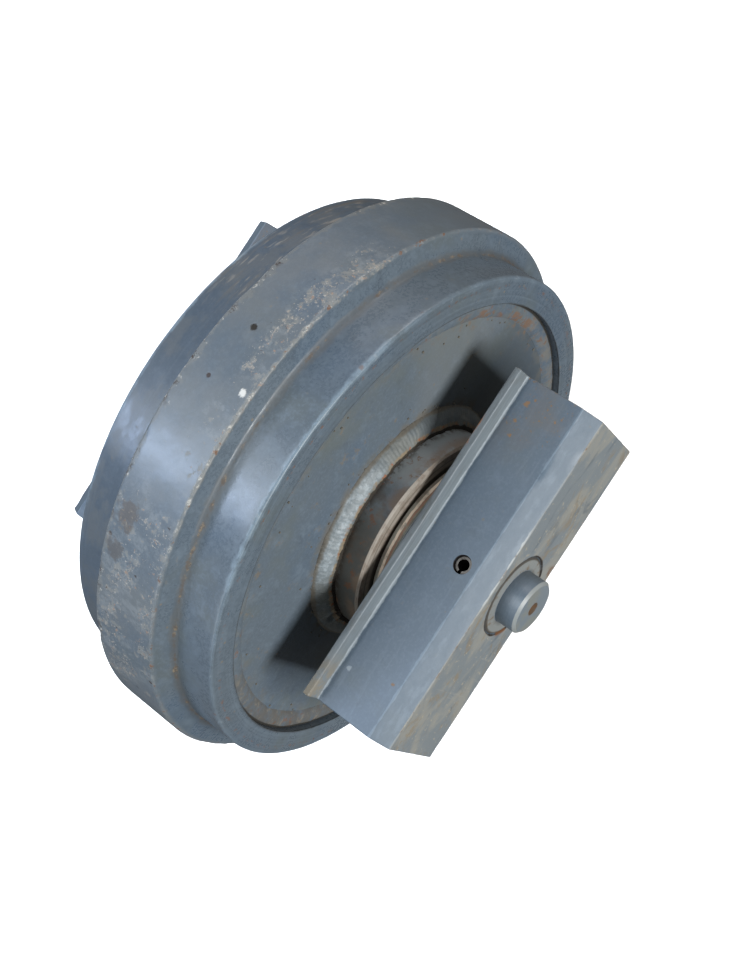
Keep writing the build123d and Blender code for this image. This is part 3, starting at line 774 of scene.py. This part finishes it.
def new_piece(name, points, faces):
    """A new object with that mesh, smooth but for its sharp edges."""
    mesh = bpy.data.meshes.new(name)
    mesh.from_pydata(points, [], faces)
    mesh.validate()
    mesh.shade_smooth()
    mesh.set_sharp_from_angle(angle=radians(40))
    piece = bpy.data.objects.new(name, mesh)
    bpy.context.scene.collection.objects.link(piece)
    return piece


def turned_piece(name, section, steps, push):
    """Turns a closed section about the axle; push says how far each point moves out of the surface."""
    before, after = np.roll(section, 1, axis=0), np.roll(section, -1, axis=0)
    out = np.column_stack([after[:, 1] - before[:, 1], before[:, 0] - after[:, 0]])
    area = np.sum(section[:, 0] * after[:, 1] - after[:, 0] * section[:, 1])
    out *= np.sign(area) / np.linalg.norm(out, axis=1)[:, None]
    turns = np.linspace(0, 2 * pi, steps, endpoint=False)

    def laid_out(flat):
        radius, along = np.broadcast_arrays(flat[..., 0], flat[..., 1])
        return np.stack([radius * np.sin(turns)[:, None], along, radius * np.cos(turns)[:, None]], -1)

    at_rest = laid_out(np.broadcast_to(section, (steps, *section.shape)))
    points = laid_out(section + push(at_rest)[..., None] * out)
    count = len(section)
    ring, step = np.meshgrid(np.arange(count), np.arange(steps))
    ring_next, step_next = (ring + 1) % count, (step + 1) % steps
    here, beyond = step * count, step_next * count
    faces = np.stack([here + ring, here + ring_next, beyond + ring_next, beyond + ring], -1).reshape(-1, 4)
    if area < 0:
        faces = faces[:, ::-1]
    return new_piece(name, points.reshape(-1, 3).tolist(), faces.tolist())


def near(points, radius, along, reach):
    """1 at a ring edge, falling to 0 over about reach."""
    away = np.hypot(np.hypot(points[..., 0], points[..., 2]) - radius, np.abs(points[..., 1]) - along)
    return np.exp(-((away / reach) ** 2))


def make_rim():
    """The rim with nicked and rubbed edges."""
    middle = ((RIM_BORE_R + TREAD_R) / 2, 0)
    section = filled_in(section_of("rim", middle), 3.2 * MM)

    def push(points):
        nicks = np.clip(0.7 * bumps(points, 150, 1) + bumps(points, 37, 2) - 0.3, 0, 1)
        flange_edges = near(points, FLANGE_R, FLANGE_TOP_Y, 2.2 * MM)
        edges = flange_edges + 0.25 * near(points, TREAD_R, RIM_FACE_Y, 2 * MM)
        return -1.1 * MM * nicks * edges + 0.06 * MM * (bumps(points, 30, 3) - 1)

    return turned_piece("rim_worn", section, 720, push)


def crown_of(node, corner, count):
    """A weld's section: evenly spaced crown points, sunk a little at both toes, then its buried corner."""
    sink = 0.8 * MM
    section = section_of(node, corner)
    crown = section[section[:, 1] > WEB_FACE_Y + 0.05 * MM]
    radius = section_points(node)[:, 0]
    toe_r = max(radius.min(), radius.max(), key=lambda r: abs(r - corner[0]))
    toe = np.array([[toe_r, WEB_FACE_Y]])
    if abs(crown[0, 0] - toe_r) > abs(crown[-1, 0] - toe_r):
        crown = crown[::-1]
    crown = evenly(np.vstack([toe, crown]), count)
    into_wall = sink * np.sign(corner[0] - toe_r)
    toe_sunk = crown[0] - (0, sink)
    wall_sunk = crown[-1] + (into_wall, 0)
    root = (corner[0] + into_wall, WEB_FACE_Y - sink)
    return np.vstack([toe_sunk, crown, wall_sunk, root])


def crater(points, stop, side):
    """How far the crater at a hub bead's end raises each point: a low ring round a pit."""
    radius, along = HUB_R + 5 * MM, WEB_FACE_Y + 6.3 * MM
    centre = np.array([sin(stop) * radius, side * along, cos(stop) * radius])
    away = np.linalg.norm(points - centre, axis=-1)
    ring = 1.3 * MM * np.exp(-(((away - 6.0 * MM) / (1.8 * MM)) ** 2))
    pit = 1.6 * MM * np.exp(-((away / (4.2 * MM)) ** 2))
    return ring - pit


def make_weld(name, node, corner, side, size, seed, stop=None):
    """A hand-laid bead: ripples, swells and a grainy skin; stop is the turn where it ends in a crater."""
    crown_points, steps, ripple_length = 18, 900, 2.6 * MM
    section = crown_of(node, corner, crown_points) * (1, side)

    def push(points):
        turn = np.arctan2(points[..., 0], points[..., 2])
        swell = bumps(points, 55, seed) + 0.5 * bumps(points, 140, seed + 1)
        grain = bumps(points, 420, seed + 2)
        ripple = np.sin(turn * corner[0] / ripple_length * 2 * pi + 3 * bumps(points, 60, seed + 3))
        rise = size * (0.62 * swell + 0.22 * grain + 0.06 * ripple)
        if stop is not None:
            rise += crater(points, stop, side)
        rise[:, -1] = 0
        return rise

    return turned_piece(name, section, steps, push)


def make_spatter(name, side, seed):
    """Beads of weld metal that stuck to the web plate near both welds."""
    dice = np.random.default_rng(seed)
    points, faces = [], []
    # where each weld's beads start, how far out or in they reach, and how many there are
    rings = ((HUB_WELD_R + 1 * MM, 14 * MM, 46), (RIM_WELD_R - 1 * MM, -10 * MM, 34))
    for start, reach, count in rings:
        for _ in range(count):
            radius = start + reach * dice.random() ** 2
            turn = dice.uniform(0, 2 * pi)
            size = dice.uniform(0.35, 0.95) * MM
            centre = Vector((radius * sin(turn), side * (WEB_FACE_Y + 0.1 * size), radius * cos(turn)))
            ball = bmesh.new()
            bmesh.ops.create_icosphere(ball, subdivisions=2, radius=size)
            ball.verts.ensure_lookup_table()
            first = len(points)
            for vertex in ball.verts:
                lump = noise.noise(vertex.co * 1500 + centre * 100)
                points.append(tuple(centre + vertex.co * (1 + 0.15 * lump)))
            faces += [[first + vertex.index for vertex in face.verts] for face in ball.faces]
            ball.free()
    return new_piece(name, points, faces)


def sliced(node, spacing):
    """A node's mesh as a closed bmesh, sliced by a grid of planes so that its flat faces can be dented."""
    grid = bmesh.new()
    grid.from_mesh(frame["nodes"][node].data)
    bmesh.ops.remove_doubles(grid, verts=grid.verts, dist=0.002 * MM)
    for axis in range(3):
        places = [vertex.co[axis] for vertex in grid.verts]
        low, high = min(places), max(places)
        count = int((high - low) / spacing)
        for step in range(1, count):
            centre, normal = [0, 0, 0], [0, 0, 0]
            centre[axis] = low + (high - low) * step / count
            normal[axis] = 1
            everything = grid.verts[:] + grid.edges[:] + grid.faces[:]
            bmesh.ops.bisect_plane(grid, geom=everything, dist=0.01 * MM, plane_co=centre, plane_no=normal)
    return grid


def make_block(name, side, grid, seed):
    """A guide block with dented and rounded long edges; the grid is the left block's."""
    grid.normal_update()
    points = np.array([vertex.co for vertex in grid.verts])
    normals = np.array([vertex.normal for vertex in grid.verts])
    long_edges = (
        (BLOCK_INNER_Y, LIP_TOP_Z),
        (LIP_WALL_Y, LIP_TOP_Z),
        (CHAMFER_Y, WIDE_FACE_Z),
        (BLOCK_OUTER_Y, OUTER_FACE_Z),
    )
    worn_reach = 1.7 * MM
    edge = np.zeros(len(points))
    for along, height in long_edges:
        away_squared = (points[:, 1] - along) ** 2 + (np.abs(points[:, 2]) - height) ** 2
        edge += np.exp(-(away_squared / worn_reach**2))
    past_flat = np.abs(points[:, 0]) > BLOCK_END_X - 2 * MM
    edge = np.clip(edge + 0.7 * past_flat, 0, 1)
    dents = np.clip(bumps(points, 120, seed) + 0.6 * bumps(points, 40, seed + 1) - 0.28, 0, 1)
    # round the axle the block keeps its exact shape, so that boss, bore and pin hole stay round
    inside = np.hypot(points[:, 0], points[:, 2]) < BOSS_R + 1 * MM
    skin = np.where(inside & (points[:, 1] < BLOCK_OUTER_Y - 2 * MM), 0, 1)
    depth = (0.9 * MM * dents * edge + 0.05 * MM * (1 + bumps(points, 45, seed + 2))) * skin
    points = (points - normals * depth[:, None]) * (1, side, 1)
    faces = [[vertex.index for vertex in face.verts][::side] for face in grid.faces]
    return new_piece(name, points.tolist(), faces)


# ---------------------------------------------------------------- build


def dress(piece, material, body, slot, *nodes):
    """Gives a new piece its material and its body, and hides the nodes it stands for; the slot argument is
    not used.
    """
    piece.data.materials.clear()
    piece.data.materials.append(material)
    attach(piece, body)
    if nodes:
        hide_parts(*nodes)


SLICE = 4 * MM
HUB_BEAD, RIM_BEAD = 1.5 * MM, 0.9 * MM  # how uneven the beads are
HUB_BEAD_STOPS = {"left": radians(74), "right": radians(-120)}

hub_weld_finish = hub_weld_paint()
rim_weld_finish = rim_weld_paint()
block_paint = block_finish()
dress(make_rim(), rim_paint(), "wheel", "wheel_paint", "rim")
block_grid = sliced("guide_block_left", SLICE)
block_grid.verts.index_update()
for side_name, side in SIDES.items():
    corner, stop = (HUB_R, WEB_FACE_Y), HUB_BEAD_STOPS[side_name]
    bead = make_weld(f"hub_bead_{side_name}", "hub_weld_left", corner, side, HUB_BEAD, 10 + side, stop)
    dress(bead, hub_weld_finish, "wheel", "weld_bead", f"hub_weld_{side_name}")
    corner = (RIM_BORE_R, WEB_FACE_Y)
    bead = make_weld(f"rim_bead_{side_name}", "rim_weld_left", corner, side, RIM_BEAD, 20 + side)
    dress(bead, rim_weld_finish, "wheel", "weld_bead", f"rim_weld_{side_name}")
    dress(make_spatter(f"weld_spatter_{side_name}", side, 30 + side), hub_weld_finish, "wheel", "weld_bead")
    block = make_block(f"block_worn_{side_name}", side, block_grid, 40 + side)
    dress(block, block_paint, "axle_and_blocks", "block_paint", f"guide_block_{side_name}")
block_grid.free()

FINISHES = {
    "wheel_paint": web_paint(),
    "block_paint": block_paint,
    "weld_bead": rim_weld_finish,
    "axle_steel": axle_finish(),
    "pin_steel": metal("pin_steel_dark", srgb(96, 92, 88), srgb(58, 52, 48), 0.42),
    "bushing_bronze": metal(
        "bushing_bronze_turned", srgb(186, 146, 84), srgb(132, 98, 58), 0.3, turned=True
    ),
    "seal_iron": metal("seal_iron_lapped", srgb(128, 124, 120), srgb(84, 76, 70), 0.3, turned=True),
    "seal_rubber": rubber("seal_rubber_black"),
}
OWN_FINISHES = {"hub": hub_finish()}
for subpart in frame["record"]["subparts"]:
    node = frame["nodes"][subpart["node"]]
    for slot in node.material_slots:
        slot.material = OWN_FINISHES.get(subpart["node"], FINISHES[subpart["material_slot"]])


# ---------------------------------------------------------------- studio


def make_floor():
    """A plain pale floor under the wheel."""
    half = 4.0
    mesh = bpy.data.meshes.new("floor")
    low = -FLANGE_R
    corners = [(-half, -half, low), (half, -half, low), (half, half, low), (-half, half, low)]
    mesh.from_pydata(corners, [], [(0, 1, 2, 3)])
    floor = bpy.data.objects.new("floor", mesh)
    bpy.context.scene.collection.objects.link(floor)
    look = Look("floor_pale", srgb(240, 240, 240), 0.9)
    look.coat(look.patches(3, 0.3, 0.7, 2, 0.55), srgb(238, 238, 238))
    look.relief(look.noise(200, 2), 0.05 * MM)
    mesh.materials.append(look.done())
    # it throws no light back up at the object
    floor.visible_diffuse = floor.visible_glossy = False
    return floor


def soft_light(name, direction, distance, size, power, colour):
    """A square area light that far from the object, in that direction, shining at the object."""
    data = bpy.data.lights.new(name, "AREA")
    data.size, data.energy, data.color = size, power, colour
    light = bpy.data.objects.new(name, data)
    light.location = Vector(direction).normalized() * distance
    light.rotation_euler = (-light.location).to_track_quat("-Z", "Y").to_euler()
    bpy.context.scene.collection.objects.link(light)


def floor_wash(floor, strength):
    """Even light from above on the floor alone: it lights nothing else, and nothing shades it."""
    data = bpy.data.lights.new("floor_wash", "SUN")
    data.energy = strength
    light = bpy.data.objects.new("floor_wash", data)
    bpy.context.scene.collection.objects.link(light)
    alone = bpy.data.collections.new("floor_alone")
    alone.objects.link(floor)
    light.light_linking.receiver_collection = alone
    light.light_linking.blocker_collection = alone


def make_camera(place, aim, up, lens):
    """A camera at place that looks at aim; up is where the top of its picture points."""
    data = bpy.data.cameras.new("camera")
    data.lens = lens
    camera = bpy.data.objects.new("camera", data)
    back = (Vector(place) - Vector(aim)).normalized()
    right = Vector(up).cross(back).normalized()
    turn = Matrix((right, back.cross(right), back)).transposed()
    camera.matrix_world = Matrix.Translation(place) @ turn.to_4x4()
    bpy.context.scene.collection.objects.link(camera)
    bpy.context.scene.camera = camera


def make_world(colour, strength):
    """A dim even light all round; past the floor's edge the backdrop itself is plain white."""
    world = bpy.data.worlds.new("studio")
    world.use_nodes = True
    nodes, links = world.node_tree.nodes, world.node_tree.links
    dim, white = nodes["Background"], nodes.new("ShaderNodeBackground")
    dim.inputs["Color"].default_value = (*colour, 1)
    dim.inputs["Strength"].default_value = strength
    white.inputs["Color"].default_value = (1, 1, 1, 1)
    seen, pick = nodes.new("ShaderNodeLightPath"), nodes.new("ShaderNodeMixShader")
    links.new(seen.outputs["Is Camera Ray"], pick.inputs[0])
    links.new(dim.outputs[0], pick.inputs[1])
    links.new(white.outputs[0], pick.inputs[2])
    links.new(pick.outputs[0], nodes["World Output"].inputs["Surface"])
    bpy.context.scene.world = world


floor_wash(make_floor(), strength=2.6)
make_world((1.0, 0.98, 0.92), 0.12)
# each light's direction, distance, size, power and colour
soft_light("key", (-0.01, 1.0, 0.16), 3.0, 1.2, 84, (1.0, 1.0, 0.98))
soft_light("window", (0.38, -0.52, 0.77), 2.2, 0.4, 13, (0.6, 0.74, 1.0))
soft_light("overhead", (0.25, -0.2, 0.94), 2.2, 1.4, 30, (0.87, 0.94, 1.0))
soft_light("side", (-0.85, -0.1, 0.5), 2.2, 1.2, 19, (1.0, 0.93, 0.88))
soft_light("front", (0.9, -0.1, 0.45), 2.2, 1.2, 9, (1.0, 0.96, 0.9))
soft_light("back_fill", (-0.4, -1.0, 0.25), 2.6, 1.6, 8, (1.0, 0.97, 0.92))
make_camera(
    place=(-0.03046, 0.48937, 0.95332),
    aim=(-0.01384, 0.02372, 0.00423),
    up=(-0.83727, -0.49655, 0.22896),
    lens=56.43,
)
bpy.context.scene.view_settings.view_transform = "Standard"
